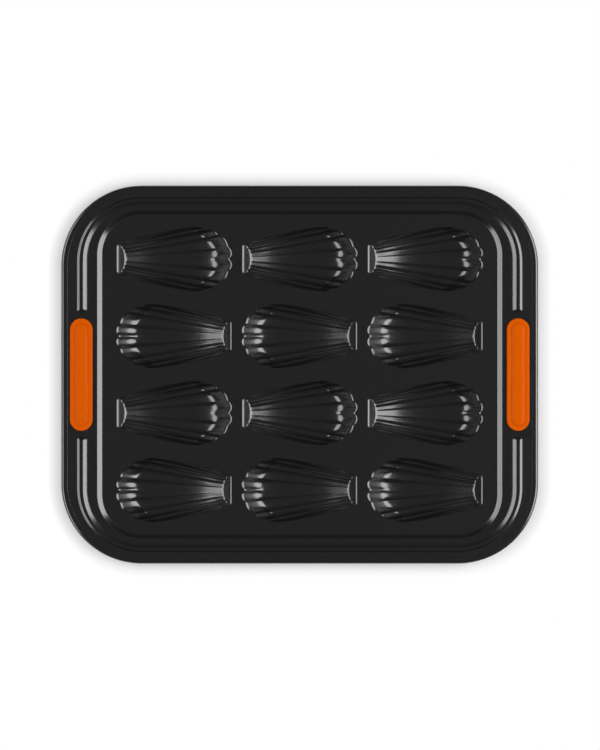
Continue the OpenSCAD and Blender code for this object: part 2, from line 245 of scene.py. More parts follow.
# The ridges, from the axis outwards: the angle at which each meets the rim, how far it notches the
# rim, how softly, its depth as a share of the axis's, and how softly its two flutes meet.
RIDGE_ANGLE = np.radians([0, 21.5, 47.5, 70, 90])
RIDGE_NOTCH = np.array([3.4, 1.4, 1.3, 1.3, 0]) * MM
NOTCH_SOFT = np.array([3, 1, 0.8, 0.8, 0.8]) * MM
RIDGE_SHARE = np.array([1, 0.95, 0.83, 0.53, 0])
RIDGE_SOFT = np.array([0.38, 0.065, 0.07, 0.1, 0.1])
# How much deeper the ridges are at the hinge edge, and the share of a line where that ends.
HINGE_LIFT = np.array([0, 0.03, 0.07, 0.15, 0])
HINGE_REACH = 0.18
# The flutes: extra depth in their middle, how much of it they have at the hinge edge, and the power
# that it grows with from there.
FLUTE_SHARE = np.array([0.19, 0.11, 0.12, 0.2])
FLUTE_START = np.array([0.18, 0.45, 0.8, 1])
FLUTE_GROWTH = np.array([2, 1, 1, 1])
# The cup's greatest depth as a share of the axis's.
DEEPEST_SHARE = 1.0712
# How the flute lines spread along the hinge edge, and how the bow grows towards the sides.
HINGE_FAN = 1.25
BOW_POWER = 4
# Radius of the hinge edge's two corners.
CORNER_R = 2 * MM
# The floor along the axis: the hinge wall's foot, and where the ramp ends, the arc is deepest and
# the two rises begin, as shares of the length, with the radii of the ramp and of the rises.
FOOT_STATION = 0.082
FLOOR_STATIONS = np.array([0.212, 0.505, 0.606, 0.81])
RAMP_R = 420 * MM
RISE_R = 112 * MM
LIFT_R = 82 * MM
# The hollow of the wall at the wide end: its radius, and how far in from the rim it goes.
WALL_R = 29 * MM
WALL_HOLLOW = 14 * MM
# How softly the floor meets the end wall, the side walls and the hinge wall.
END_BLEND = 0.6 * MM
SIDE_BLEND = 1 * MM
HINGE_BLEND = 0.25 * MM
# Steps along and across the flute lines over which a slope is measured.
PROBE_S = 0.002
PROBE_T = 0.03
# Width of flat deck round a cup that belongs to its mesh.
SKIRT = 0.8 * MM


class ShellForm:
    """The pressed form of a cup, on flute lines t from 0 on the axis to 4 on the side."""

    def __init__(self, cup):
        self.l = cup.cup_length
        self.shift = cup.middle_lead - self.l / 2
        self.half = cup.cup_width / 2
        self.half_hinge = cup.hinge_width / 2
        self.tip_r = self.half + cup.tip_reach
        self.end_u = self.l - self.tip_r
        self.bow = cup.side_bow
        self.w = cup.bend_width
        self.hinge_w = cup.hinge_bend
        self.end_m = math.tan(cup.end_slope)
        self.hinge_m = math.tan(cup.hinge_slope)
        self.side_m = math.tan(cup.side_slope)
        self.floor = cup.cup_depth / DEEPEST_SHARE
        self.ramp_u, self.low_u, self.rise_u, self.lift_u = FLOOR_STATIONS * self.l
        ramp = self.ramp_u - FOOT_STATION * self.l
        arc = self.low_u - self.ramp_u
        drop = self.floor - cup.hinge_depth - ramp ** 2 / (2 * RAMP_R)
        self.floor_r = (arc ** 2 / 2 + arc * ramp) / drop

    def flute(self, t):
        f = np.minimum(FLUTES - 1, np.floor(t)).astype(int)
        return f, t - f

    def rim(self, t):
        f, a = self.flute(t)
        angle = RIDGE_ANGLE[f] + (RIDGE_ANGLE[f + 1] - RIDGE_ANGLE[f]) * a
        x = 2 * a - 1
        near = np.where(x < 0, f, f + 1)
        over = 2 - np.abs(x)
        deep = RIDGE_NOTCH[near]
        notch = smooth_min(deep * x * x, deep * over * over, NOTCH_SOFT[near])
        notch = np.where(near == FLUTES, 0, notch)
        r = self.half + (self.tip_r - self.half) * np.cos(angle) ** 2 - notch
        return self.end_u + r * np.cos(angle), r * np.sin(angle), angle

    def hinge(self, t):
        return self.half_hinge * (t / FLUTES) ** HINGE_FAN

    def corner(self, t):
        """How far the rounded ends of the hinge edge lie behind its middle."""
        over = np.maximum(self.hinge(t) - self.half_hinge + CORNER_R, 0)
        return CORNER_R - np.sqrt(np.maximum(CORNER_R ** 2 - over ** 2, 0))

    def plan(self, s, t):
        x, y, _ = self.rim(t)
        v = self.hinge(t)
        first = self.corner(t)
        bow = self.bow * (t / FLUTES) ** BOW_POWER
        return first + s * (x - first), v + (y - v) * s + 4 * bow * s * (1 - s)

    def grown(self, s, f):
        """How much of its extra depth flute f has at s."""
        return FLUTE_START[f] + (1 - FLUTE_START[f]) * s ** FLUTE_GROWTH[f]

    def section(self, s, t):
        """Share of the axis's depth at t, with softened ridges and flutes that deepen with s."""

        def curve(f, a):
            f = np.clip(f, 0, FLUTES - 1)
            near_hinge = 1 - smooth_step(s / HINGE_REACH)
            first = RIDGE_SHARE[f] + HINGE_LIFT[f] * near_hinge
            second = RIDGE_SHARE[f + 1] + HINGE_LIFT[f + 1] * near_hinge
            fall = first + (second - first) * a
            return fall + 4 * FLUTE_SHARE[f] * self.grown(s, f) * a * (1 - a)

        f, a = self.flute(t)
        inner = a < 0.5
        own = curve(f, a)
        first = inner & (f == 0)
        next_f = np.where(inner, np.where(f == 0, 0, f - 1), np.minimum(f + 1, FLUTES - 1))
        next_a = np.where(first, -a, np.where(inner, a + 1, a - 1))
        near = np.where(inner, f, f + 1)
        soft = RIDGE_SOFT[near] * np.where(near == 0, self.grown(s, 0), 1)
        met = smooth_max(own, curve(next_f, next_a), soft)
        return np.where(near == FLUTES, own, met)

    def depth(self, s, t):
        u, v = self.plan(s, t)
        side_u, side_v = self.plan(s, np.full_like(t, FLUTES))
        side = np.hypot(side_u - u, side_v - v)
        x, y, _ = self.rim(t)
        end = (1 - s) * np.hypot(x, y - self.hinge(t))
        arc = np.clip(self.low_u - u, 0, self.low_u - self.ramp_u)
        ramp = np.maximum(self.ramp_u - u, 0)
        axis = self.floor - (arc ** 2 / 2 + arc * ramp) / self.floor_r - ramp ** 2 / (2 * RAMP_R)
        axis -= np.maximum(u - self.rise_u, 0) ** 2 / (2 * RISE_R)
        axis -= np.maximum(u - self.lift_u, 0) ** 2 / (2 * LIFT_R)
        hollow = np.clip(end - self.w, 0, WALL_HOLLOW)
        wall = bend(end, self.end_m, self.w) - hollow ** 2 / (2 * WALL_R)
        d = smooth_min(np.maximum(axis, 0) * self.section(s, t), wall, END_BLEND)
        d = smooth_min(d, bend(side, self.side_m, self.w), SIDE_BLEND)
        d = smooth_min(d, bend(u - self.corner(t), self.hinge_m, self.hinge_w), HINGE_BLEND)
        return np.maximum(0, d)

    def inside(self, s, t):
        at = np.abs(t)
        u, v = self.plan(s, at)
        return np.stack([u, np.where(t < 0, -v, v), -self.depth(s, at)], axis=-1)

    def normals(self, s, t):
        ds = PROBE_S
        dt = PROBE_T
        a = self.inside(np.minimum(s + ds, 1), t) - self.inside(np.maximum(s - ds, 0), t)
        b = self.inside(s, np.minimum(t + dt, FLUTES)) - self.inside(s, np.maximum(t - dt, -FLUTES))
        n = np.cross(a, b)
        return n / np.maximum(np.linalg.norm(n, axis=-1, keepdims=True), 1e-12)


# Where the flute lines lie in a flute, and in the last flute, beside the side wall.
IN_FLUTE = (
    0, 0.03, 0.06, 0.1, 0.16, 0.24, 0.33, 0.42, 0.5, 0.58, 0.67, 0.76, 0.84, 0.9, 0.94, 0.97,
)
LAST_FLUTE = (
    0, 0.03, 0.06, 0.1, 0.17, 0.25, 0.33, 0.41, 0.49, 0.57,
    0.64, 0.7, 0.75, 0.8, 0.84, 0.88, 0.91, 0.94, 0.97, 1,
)
# Stations along a flute line, in mm from the hinge edge and in mm back from the rim.
FROM_HINGE = (0, 0.2, 0.45, 0.75, 1.1, 1.5, 2, 2.6, 3.3, 4, 4.6, 5.2, 5.8, 6.4, 7.1, 8, 9.2, 11)
FROM_RIM = (
    20, 17.6, 15.5, 13.8, 12.4, 11.2, 10.1, 9, 8, 7.1, 6.2,
    5.4, 4.7, 4, 3.4, 2.8, 2.3, 1.8, 1.4, 1, 0.65, 0.35, 0.15, 0,
)
MIDDLE_ROWS = 24


def cup_grid(form):
    half = [f + a for f in range(FLUTES - 1) for a in IN_FLUTE]
    half += [FLUTES - 1 + a for a in LAST_FLUTE]
    lines = np.array([-t for t in half[:0:-1]] + half)
    x, y, _ = form.rim(np.abs(lines))
    line_l = np.hypot(x, y - form.hinge(np.abs(lines)))
    near = np.array(FROM_HINGE)[:, None] * MM / line_l
    glow_beyond_painted_halo = 1 - np.array(FROM_RIM)[:, None] * MM / line_l
    mid = np.linspace(0, 1, MIDDLE_ROWS + 2)[1:-1, None]
    middle = near[-1] + (glow_beyond_painted_halo[0] - near[-1]) * mid
    s = np.vstack([near, middle, glow_beyond_painted_halo])
    return s, np.broadcast_to(lines, s.shape).copy()


def ring_order(rows, lines):
    """Positions of a grid's edge, in order round it."""
    ring = [(0, j) for j in range(lines)]
    ring += [(i, lines - 1) for i in range(1, rows)]
    ring += [(rows - 1, j) for j in range(lines - 2, -1, -1)]
    ring += [(i, 0) for i in range(rows - 2, 0, -1)]
    return ring


def cup_skirt(form, s, t, ring):
    """Points of the flat skirt round a cup, a little outside its edge."""
    rows, lines = s.shape
    edge = form.inside(s, t)
    centre = np.array([form.end_u, 0])
    out = []
    for i, j in ring:
        p = edge[i, j, :2]
        ways = []
        if i == rows - 1:
            radial = p - centre
            ways.append(radial / np.linalg.norm(radial))
        if i == 0:
            ways.append(np.array([-1.0, 0.0]))
        if j in (0, lines - 1) and i < rows - 1:
            back = edge[max(i - 1, 0), j, :2]
            ahead = edge[min(i + 1, rows - 1), j, :2]
            along = (ahead - back) / np.linalg.norm(ahead - back)
            side = 1 if j else -1
            ways.append(np.array([-along[1], along[0]]) * side)
        way = sum(ways)
        out.append(p + SKIRT * way / np.linalg.norm(way))
    return np.array(out)


def cup_mesh(form, material):
    """One cup, its hinge edge towards -X and its middle at the origin, with its deck at z = 0."""
    s, t = cup_grid(form)
    rows, lines = s.shape
    inner = form.inside(s, t)
    normals = form.normals(s, t)
    normals[[0, -1], :] = (0, 0, 1)
    normals[:, [0, -1]] = (0, 0, 1)
    outer = inner - SHEET_T * normals
    outer[..., 2] = np.maximum(outer[..., 2], -DECK_Z)
    ring = ring_order(rows, lines)
    skirt = cup_skirt(form, s, t, ring)
    count = rows * lines
    points = np.vstack([
        inner.reshape(-1, 3),
        outer.reshape(-1, 3),
        np.column_stack([skirt, np.zeros(len(skirt))]),
        np.column_stack([skirt, np.full(len(skirt), -SHEET_T)]),
    ])
    points[:, 0] += form.shift
    faces = []
    for i in range(rows - 1):
        for j in range(lines - 1):
            a = i * lines + j
            b = a + lines
            faces.append((a, a + 1, b + 1, b))
            faces.append((count + a, count + b, count + b + 1, count + a + 1))
    top = 2 * count
    low = top + len(ring)
    for k in range(len(ring)):
        n = (k + 1) % len(ring)
        a = ring[k][0] * lines + ring[k][1]
        b = ring[n][0] * lines + ring[n][1]
        faces.append((b, a, top + k, top + n))
        faces.append((count + a, count + b, low + n, low + k))
        faces.append((top + n, top + k, low + k, low + n))
    return solid("shell_cup_form", points, faces, material), skirt + np.array([form.shift, 0])


def cup_row_tree():
    """Geometry nodes that lay one row of cups from a single cup."""
    tree = bpy.data.node_groups.new("Row of shell cups", "GeometryNodeTree")
    socket = tree.interface.new_socket
    socket("Cup", in_out="INPUT", socket_type="NodeSocketGeometry")
    socket("Cups", in_out="INPUT", socket_type="NodeSocketInt")
    socket("First cup", in_out="INPUT", socket_type="NodeSocketVector")
    socket("Spacing", in_out="INPUT", socket_type="NodeSocketFloat")
    socket("Turn", in_out="INPUT", socket_type="NodeSocketFloat")
    socket("Finish", in_out="INPUT", socket_type="NodeSocketMaterial")
    socket("Row", in_out="OUTPUT", socket_type="NodeSocketGeometry")
    new = tree.nodes.new
    join = tree.links.new
    given = new("NodeGroupInput")
    result = new("NodeGroupOutput")
    line = new("GeometryNodeMeshLine")
    step = new("ShaderNodeCombineXYZ")
    turn = new("ShaderNodeCombineXYZ")
    euler = new("FunctionNodeEulerToRotation")
    place = new("GeometryNodeInstanceOnPoints")
    real = new("GeometryNodeRealizeInstances")
    paint = new("GeometryNodeSetMaterial")
    join(given.outputs["Spacing"], step.inputs["X"])
    join(given.outputs["Turn"], turn.inputs["Z"])
    join(given.outputs["Cups"], line.inputs["Count"])
    join(given.outputs["First cup"], line.inputs["Start Location"])
    join(step.outputs[0], line.inputs["Offset"])
    join(line.outputs["Mesh"], place.inputs["Points"])
    join(given.outputs["Cup"], place.inputs["Instance"])
    join(turn.outputs[0], euler.inputs[0])
    join(euler.outputs[0], place.inputs["Rotation"])
    join(place.outputs["Instances"], real.inputs["Geometry"])
    join(real.outputs["Geometry"], paint.inputs["Geometry"])
    join(given.outputs["Finish"], paint.inputs["Material"])
    join(paint.outputs["Geometry"], result.inputs["Row"])
    return tree


def set_inputs(modifier, values):
    """Sets a nodes modifier's inputs by their sockets' identifiers."""
    for item in modifier.node_group.interface.items_tree:
        if item.in_out == "INPUT" and item.name in values:
            modifier[item.identifier] = values[item.name]


def as_plain_mesh(piece):
    """Replaces a piece's mesh by its evaluated one and takes its modifiers off."""
    evaluated = piece.evaluated_get(bpy.context.evaluated_depsgraph_get())
    mesh = bpy.data.meshes.new_from_object(evaluated)
    piece.modifiers.clear()
    piece.data = mesh


# ---- pan sheet ----

# The rib fades out between these distances from the middle of the grip ends.
GRIP_FREE_Y = 52 * MM
RIB_FULL_Y = 55.5 * MM
CORNER_STEPS = 28
# In mm from the pan's edge at the grip ends: where the flange begins to fall, where its inner band
# is reached, and where the deck begins there and at the long sides.
FALL_START = 7.3
FALL_END = 29.3
DECK_START = (34.3, 24.5)
# Width of flat deck that belongs to the flange's mesh, in mm.
DECK_LEAD = 2.4
# Points of a rounded line that lie closer than this are left out, in mm.
NODE_GAP = 0.02


def flange_nodes(sheet):
    """Nodes of the flange's section, in mm: reach from the edge at the grip ends and at the long
    sides, height over the deck with the rib and without it, and the most that its bend takes."""
    h = sheet.flange_height / MM
    crest = h + sheet.rib_height / MM
    band = sheet.band_height / MM
    return [
        (sheet.roll_width / MM, sheet.roll_width / MM, h, h, 0),
        (FALL_START, 7.2, h, h, 0.5),
        (13.8, 9.8, h, None, 0.4),
        (15.3, 11.08, crest - 0.09, None, 0.4),
        (16.3, 12.04, crest, None, 0.6),
        (18.5, 13.32, crest - 0.05, None, 0.7),
        (21.6, 16.1, band + 0.28 * (crest - band), None, 1.6),
        (25.65, 18.7, band + 0.25, None, 1.6),
        (FALL_END, 20.7, band, band, 1.6),
        (30.7, 21.4, band - 0.1, band - 0.1, 0.8),
        (34.2, 24.5, 0, 0, 1.5),
        (DECK_START[0] + DECK_LEAD, DECK_START[1] + DECK_LEAD, 0, 0, 0),
    ]


def rounded(nodes, cuts, steps=6):
    """A line through nodes with every corner rounded by a short curve, of at most its cut."""
    nodes = np.array(nodes, float)
    out = [nodes[0]]
    for i in range(1, len(nodes) - 1):
        a, b, c = nodes[i - 1], nodes[i], nodes[i + 1]
        p = b + (a - b) * min(0.5, cuts[i] / max(abs(a[0] - b[0]), 1e-9))
        q = b + (c - b) * min(0.5, cuts[i] / max(abs(c[0] - b[0]), 1e-9))
        for k in range(steps + 1):
            f = k / steps
            out.append((1 - f) ** 2 * p + 2 * f * (1 - f) * b + f * f * q)
    out.append(nodes[-1])
    keep = [out[0]]
    for p in out[1:]:
        if np.linalg.norm(p - keep[-1]) > NODE_GAP:
            keep.append(p)
    return np.array(keep)


def side_stations():
    fade = np.linspace(GRIP_FREE_Y, RIB_FULL_Y, 13)
    plain = np.linspace(0, GRIP_FREE_Y, 9)[:-1]
    up = np.concatenate([plain, fade])
    return np.concatenate([-up[:0:-1], up])


def rounded_outline(sheet, reach_x, reach_y, stations):
    """Points of the pan's outline, moved in by a reach, from the right side anticlockwise."""
    r = sheet.corner_radius - reach_x
    cx = HALF_L - sheet.corner_radius
    cy = HALF_W - reach_y - r
    out = []
    for quarter in range(4):
        sx = 1 if quarter in (0, 3) else -1
        sy = 1 if quarter < 2 else -1
        if quarter in (0, 2):
            out += [(sx * (HALF_L - reach_x), sx * y) for y in stations]
        for k in range(CORNER_STEPS + 1):
            a = math.pi / 2 * (quarter + k / CORNER_STEPS)
            out.append((sx * cx + r * math.cos(a), sy * cy + r * math.sin(a)))
    return np.array(out)


def smooth_step(x):
    x = np.clip(x, 0, 1)
    return x * x * (3 - 2 * x)


def flange_grid(sheet):
    """Upper face of the flange: [profile, station, 3], heights over the deck."""
    nodes = flange_nodes(sheet)
    h = sheet.flange_height / MM
    band = sheet.band_height / MM
    ribbed = []
    plain = []
    for x, y, high, flat, _ in nodes:
        if flat is None:
            flat = h + (band - h) * (x - FALL_START) / (FALL_END - FALL_START)
        ribbed.append((x, y, high))
        plain.append((x, y, flat))
    cuts = [node[-1] for node in nodes]
    both = rounded(np.column_stack([np.array(ribbed), np.array(plain)[:, 2]]), cuts)
    stations = side_stations()
    per_side = len(stations)
    quarter = CORNER_STEPS + 1
    rows = []
    for x, y, high, flat in both:
        loop = rounded_outline(sheet, x * MM, y * MM, stations)
        on_side = np.zeros(len(loop), bool)
        on_side[:per_side] = True
        on_side[per_side + 2 * quarter: 2 * per_side + 2 * quarter] = True
        full = smooth_step((np.abs(loop[:, 1]) - GRIP_FREE_Y) / (RIB_FULL_Y - GRIP_FREE_Y))
        full = np.where(on_side, full, 1)
        z = (flat + (high - flat) * full) * MM
        rows.append(np.column_stack([loop, z]))
    return np.array(rows)


def loop_faces(rows, columns, start=0, flip=False):
    """Quads between closed loops of points."""
    faces = []
    for i in range(rows - 1):
        for k in range(columns):
            n = (k + 1) % columns
            a = start + i * columns
            b = a + columns
            quad = (a + k, a + n, b + n, b + k)
            faces.append(quad[::-1] if flip else quad)
    return faces


def flange_mesh(sheet, material):
    upper = flange_grid(sheet)
    rows, columns, _ = upper.shape
    wrapped = np.concatenate([upper[:, -1:], upper, upper[:, :1]], axis=1)
    normals = grid_normals(wrapped)[:, 1:-1]
    normals[[0, -1]] = (0, 0, 1)
    lower = upper - SHEET_T * normals
    points = np.vstack([upper.reshape(-1, 3), lower.reshape(-1, 3)])
    points[:, 2] += DECK_Z
    faces = loop_faces(rows, columns)
    faces += loop_faces(rows, columns, rows * columns, flip=True)
    low = rows * columns
    last = (rows - 1) * columns
    for k in range(columns):
        n = (k + 1) % columns
        faces.append((n, k, low + k, low + n))
        faces.append((last + k, last + n, low + last + n, low + last + k))
    return solid("pan_flange_sheet", points, faces, material), upper[-1, :, :2]


def inside_loop(points, loop):
    """True for each point that lies inside a closed loop."""
    x, y = points[:, 0:1], points[:, 1:2]
    ax, ay = loop[:, 0], loop[:, 1]
    bx, by = np.roll(ax, -1), np.roll(ay, -1)
    spans = (ay > y) != (by > y)
    with np.errstate(divide="ignore", invalid="ignore"):
        cross = ax + (y - ay) * (bx - ax) / (by - ay)
    return (np.sum(spans & (x < cross), axis=1) % 2) == 1


def deck_mesh(outer, holes, material):
    """The flat deck between the flange and the cups."""
    loops = [outer] + holes
    points = np.vstack(loops)
    edges = []
    start = 0
    for loop in loops:
        n = len(loop)
        edges += [(start + k, start + (k + 1) % n) for k in range(n)]
        start += n
    scaled = [Vector(p) for p in (points / MM).tolist()]
    found, _, triangles, origins, _, _ = delaunay_2d_cdt(scaled, edges, [], 0, 1e-5)
    flat = np.array([points[o[0]] if o else np.array(v) * MM for v, o in zip(found, origins)])
    corners = np.array([tuple(t) for t in triangles])
    middles = flat[corners].mean(axis=1)
    keep = inside_loop(middles, outer)
    for hole in holes:
        keep &= ~inside_loop(middles, hole)
    corners = corners[keep]
    count = len(flat)
    top = np.column_stack([flat, np.full(count, DECK_Z)])
    low = np.column_stack([flat, np.full(count, DECK_Z - SHEET_T)])
    faces = [tuple(c) for c in corners] + [tuple(c[::-1] + count) for c in corners]
    half_edges = {}
    for a, b, c in corners:
        half_edges.update(dict.fromkeys(((a, b), (b, c), (c, a))))
    for a, b in half_edges:
        if (b, a) not in half_edges:
            faces.append((b, a, a + count, b + count))
    return solid("pan_deck_sheet", np.vstack([top, low]), faces, material)


def swept(name, section, sheet, material):
    """A closed section of [reach, height] in metres, swept round the pan's edge."""
    stations = side_stations()[::4]
    loops = []
    for reach, high in section:
        loop = rounded_outline(sheet, reach, reach, stations)
        loops.append(np.column_stack([loop, np.full(len(loop), DECK_Z + high)]))
    points = np.array(loops)
    rows, columns, _ = points.shape
    faces = loop_faces(rows, columns)
    last = (rows - 1) * columns
    for k in range(columns):
        n = (k + 1) % columns
        faces.append((last + k, last + n, n, k))
    return solid(name, points.reshape(-1, 3), faces, material)


# Clearance round the wire, and the direction from the wire's middle in which the rolled edge ends.
WIRE_GAP = 0.05 * MM
ROLL_END = math.radians(-18)
BEAD_STEPS = 40
# The step from the flange up to the bead: its foot and its top, from the pan's edge.
STEP_FOOT = 5.7 * MM
STEP_TOP = 5.05 * MM


def roll_section(sheet):
    bore = sheet.wire_diameter / 2 + WIRE_GAP
    bead = bore + SHEET_T
    z = sheet.flange_height + sheet.bead_rise - bead
    h = sheet.flange_height
    tail = rounded(
        np.array([
            (sheet.roll_width, h),
            (STEP_FOOT, h),
            (STEP_TOP, h + sheet.bead_rise),
            (bead + 0.2 * MM, h + sheet.bead_rise),
        ]) / MM,
        (0, 0.3, 0.3, 0),
    ) * MM
    angles = np.linspace(math.pi / 2, 2 * math.pi + ROLL_END, BEAD_STEPS)
    outer = [(bead + bead * math.cos(a), z + bead * math.sin(a)) for a in angles]
    inner = [(bead + bore * math.cos(a), z + bore * math.sin(a)) for a in angles[::-1]]
    middle = (bead + bore) / 2
    end = ROLL_END + 2 * math.pi
    cap = []
    for k in range(1, 5):
        turn = end + math.pi * k / 5
        cap.append((
            bead + middle * math.cos(end) + SHEET_T / 2 * math.cos(turn),
            z + middle * math.sin(end) + SHEET_T / 2 * math.sin(turn),
        ))
    under = [(x, y - SHEET_T) for x, y in tail[::-1]]
    return [tuple(p) for p in tail] + outer + cap + inner + under


def wire_section(sheet):
    r = sheet.wire_diameter / 2
    bead = r + WIRE_GAP + SHEET_T
    z = sheet.flange_height + sheet.bead_rise - bead
    angles = np.linspace(0, 2 * math.pi, 20, endpoint=False)
    return [(bead + r * math.cos(a), z + r * math.sin(a)) for a in angles]


# ---- grips ----

# The lip below the sheet: its thickness, how much narrower it is than the upper lip, and the gap
# between it and the sheet.
UNDER_LIP_T = 1.2 * MM
UNDER_LIP_INSET = 1 * MM
NECK_PLAY = 0.05 * MM
# Below the upper lip the neck flares by this much over this height, and the underside is flat
# inside this distance from the lower lip's edge.
NECK_FLARE = 0.2 * MM
FLARE_HEIGHT = 0.1 * MM
FLAT_INSET = 2 * MM
# Half width of the flat field in the panel, the width of the bend down to the bevel round it, and
# the share of the crown's height that the bevel falls.
FIELD_REACH = 3 * MM
BEVEL_BEND = 0.6 * MM
BEVEL_SHARE = 0.9
# Radii of the panel's edge, of the upper lip's inner edge and of the lower lip's edges.
PANEL_EDGE_R = 0.35 * MM
LIP_EDGE_R = 0.3 * MM
UNDER_TOP_R = 0.4 * MM
UNDER_LOW_R = 0.5 * MM
# The grips lie along the flange's fall, taken from this distance from the pan's edge.
GRIP_FALL_START = 7 * MM


def arc(cx, cz, r, start, end, steps):
    angles = np.radians(np.linspace(start, end, steps + 1))
    return [(cx + r * math.cos(a), cz + r * math.sin(a)) for a in angles]


def grip_section(grip):
    """Half section of a grip, from its crown to its underside: [reach from middle, height]."""
    half = grip.grip_width / 2
    panel = half - grip.lip_width
    lip = grip.lip_thickness
    g = grip.groove_radius
    edge = panel - PANEL_EDGE_R
    bevel_m = BEVEL_SHARE * grip.crown_height / (edge - FIELD_REACH - BEVEL_BEND / 2)
    reach = np.linspace(0, edge, 21)
    height = lip + grip.crown_height - bend(reach - FIELD_REACH, bevel_m, BEVEL_BEND)
    top = list(zip(reach, height))
    shoulder = top[-1][1]
    top += arc(edge, shoulder - PANEL_EDGE_R, PANEL_EDGE_R, 72, 0, 5)
    top += arc(panel + g, lip, g, 190, 330, 8)
    top += arc(panel + 2 * g + LIP_EDGE_R, lip - LIP_EDGE_R, LIP_EDGE_R, 150, 90, 4)
    top += arc(half - lip / 2, lip / 2, lip / 2, 90, -90, 12)
    low_z = -SHEET_T - NECK_PLAY
    low_half = half - UNDER_LIP_INSET
    under = [(panel + NECK_FLARE, 0), (panel, -FLARE_HEIGHT), (panel, low_z)]
    under += [(low_half - UNDER_TOP_R, low_z)]
    under += arc(low_half - UNDER_TOP_R, low_z - UNDER_TOP_R, UNDER_TOP_R, 80, 0, 4)
    under += arc(low_half - UNDER_LOW_R, low_z - UNDER_LIP_T + UNDER_LOW_R, UNDER_LOW_R, 0, -90, 5)
    under += [(d, low_z - UNDER_LIP_T) for d in np.linspace(low_half - FLAT_INSET, 0, 5)]
    return top + under


def grip_mesh(name, grip, sheet, side, material):
    section = grip_section(grip)
    straight = (grip.grip_length - grip.grip_width) / 2
    ends = 32
    along = np.linspace(-straight, straight, 13)
    loops = []
    for d, z in section:
        loop = []
        for sign, start in ((1, 0), (-1, math.pi)):
            loop += [(sign * d, sign * y, z) for y in along[:-1]]
            for k in range(ends):
                a = start + math.pi * k / ends
                loop.append((d * math.cos(a), sign * straight + d * math.sin(a), z))
        loops.append(loop)
    points = np.array(loops)
    rows, columns, _ = points.shape
    points = points.reshape(-1, 3)
    mid = grip.edge_inset + grip.grip_width / 2
    fall = sheet.flange_height - sheet.band_height
    run = FALL_END * MM - GRIP_FALL_START
    tilt = math.atan(fall / run)
    height = sheet.flange_height - fall * (mid - GRIP_FALL_START) / run
    theta = -side * tilt
    x = points[:, 0] * math.cos(theta) + points[:, 2] * math.sin(theta)
    z = -points[:, 0] * math.sin(theta) + points[:, 2] * math.cos(theta)
    placed = np.column_stack([x + side * (HALF_L - mid), points[:, 1], z + DECK_Z + height])
    return solid(name, placed, loop_faces(rows, columns), material, smooth_to=60)


# ---- materials ----


def shader(name):
    material = bpy.data.materials.new(name)
    material.use_nodes = True
    nodes = material.node_tree.nodes
    return material, nodes, material.node_tree.links.new, nodes["Principled BSDF"]


def set_sockets(node, values):
    for name, value in values.items():
        node.inputs[name].default_value = value


def noise(nodes, join, scale, detail=2.0):
    """Noise on Object coordinates, with features about 1/scale metres wide."""
    where = nodes.new("ShaderNodeTexCoord")
    texture = nodes.new("ShaderNodeTexNoise")
    set_sockets(texture, {"Scale": scale, "Detail": detail, "Roughness": 0.5})
    join(where.outputs["Object"], texture.inputs["Vector"])
    return texture.outputs["Fac"]


def ranged(nodes, join, value, low, high, to_low, to_high):
    """The value moved from one range to another, and kept inside it."""
    node = nodes.new("ShaderNodeMapRange")
    set_sockets(node, {"From Min": low, "From Max": high, "To Min": to_low, "To Max": to_high})
    join(value, node.inputs["Value"])
    return node.outputs["Result"]


def blended(nodes, join, factor, first, second):
    node = nodes.new("ShaderNodeMix")
    node.data_type = "RGBA"
    join(factor, node.inputs["Factor"])
    set_sockets(node, {"A": (*first, 1), "B": (*second, 1)})
    return node.outputs["Result"]


def bumped(nodes, join, value, distance, principled):
    node = nodes.new("ShaderNodeBump")
    node.inputs["Distance"].default_value = distance
    join(value, node.inputs["Height"])
    join(node.outputs["Normal"], principled.inputs["Normal"])


def coating(finish):
    """Dark non-stick coating with fine flecks."""
    material, nodes, join, principled = shader("Non-stick coating")
    fleck = noise(nodes, join, scale=1100)
    amount = ranged(nodes, join, fleck, 0.42, 0.68, 0, 1)
    tint = blended(nodes, join, amount, finish.coating, finish.coating_fleck)
    join(tint, principled.inputs["Base Color"])
    cloud = noise(nodes, join, scale=700)
    base = finish.coating_roughness
    rough = ranged(nodes, join, cloud, 0.3, 0.7, base - 0.01, base + 0.01)
    join(rough, principled.inputs["Roughness"])
    set_sockets(principled, {
        "IOR": 1.6,
        "Specular IOR Level": 0.95,
        "Coat Weight": 0.12,
        "Coat Roughness": 0.4,
        "Coat IOR": 1.5,
    })
    return material


def silicone(finish):
    """Satin moulded silicone."""
    material, nodes, join, principled = shader("Silicone")
    mottle = noise(nodes, join, scale=260)
    amount = ranged(nodes, join, mottle, 0.35, 0.65, 0, 1)
    deep = tuple(0.975 * c for c in finish.silicone)
    tint = blended(nodes, join, amount, deep, finish.silicone)
    join(tint, principled.inputs["Base Color"])
    base = finish.silicone_roughness
    fine = noise(nodes, join, scale=1800, detail=1)
    rough = ranged(nodes, join, fine, 0.3, 0.7, base - 0.03, base + 0.03)
    join(rough, principled.inputs["Roughness"])
    set_sockets(principled, {"IOR": 1.42, "Specular IOR Level": 0.06})
    bumped(nodes, join, fine, 0.002 * MM, principled)
    return material


def drawn_wire(finish):
    """Plain drawn steel wire."""
    material, nodes, join, principled = shader("Drawn wire")
    streak = noise(nodes, join, scale=900)
    amount = ranged(nodes, join, streak, 0.3, 0.7, 0, 1)
    dull = tuple(0.8 * c for c in finish.wire)
    join(blended(nodes, join, amount, dull, finish.wire), principled.inputs["Base Color"])
    set_sockets(principled, {"Metallic": 1, "Roughness": 0.35})
    return material


def kept(name, maker, finish):
    """The material of that name, made once."""
    return bpy.data.materials.get(name) or maker(finish)


# ---- stage ----

# Each soft box: its lower and upper edge above the floor, and half its width, in metres.
RIGHT_SPAN = (0.32, 2.15)
LEFT_SPAN = (0.5, 1.98)
RIGHT_HALF_Y = 0.571
LEFT_HALF_Y = 0.776
BOARD_LOW = 0.005
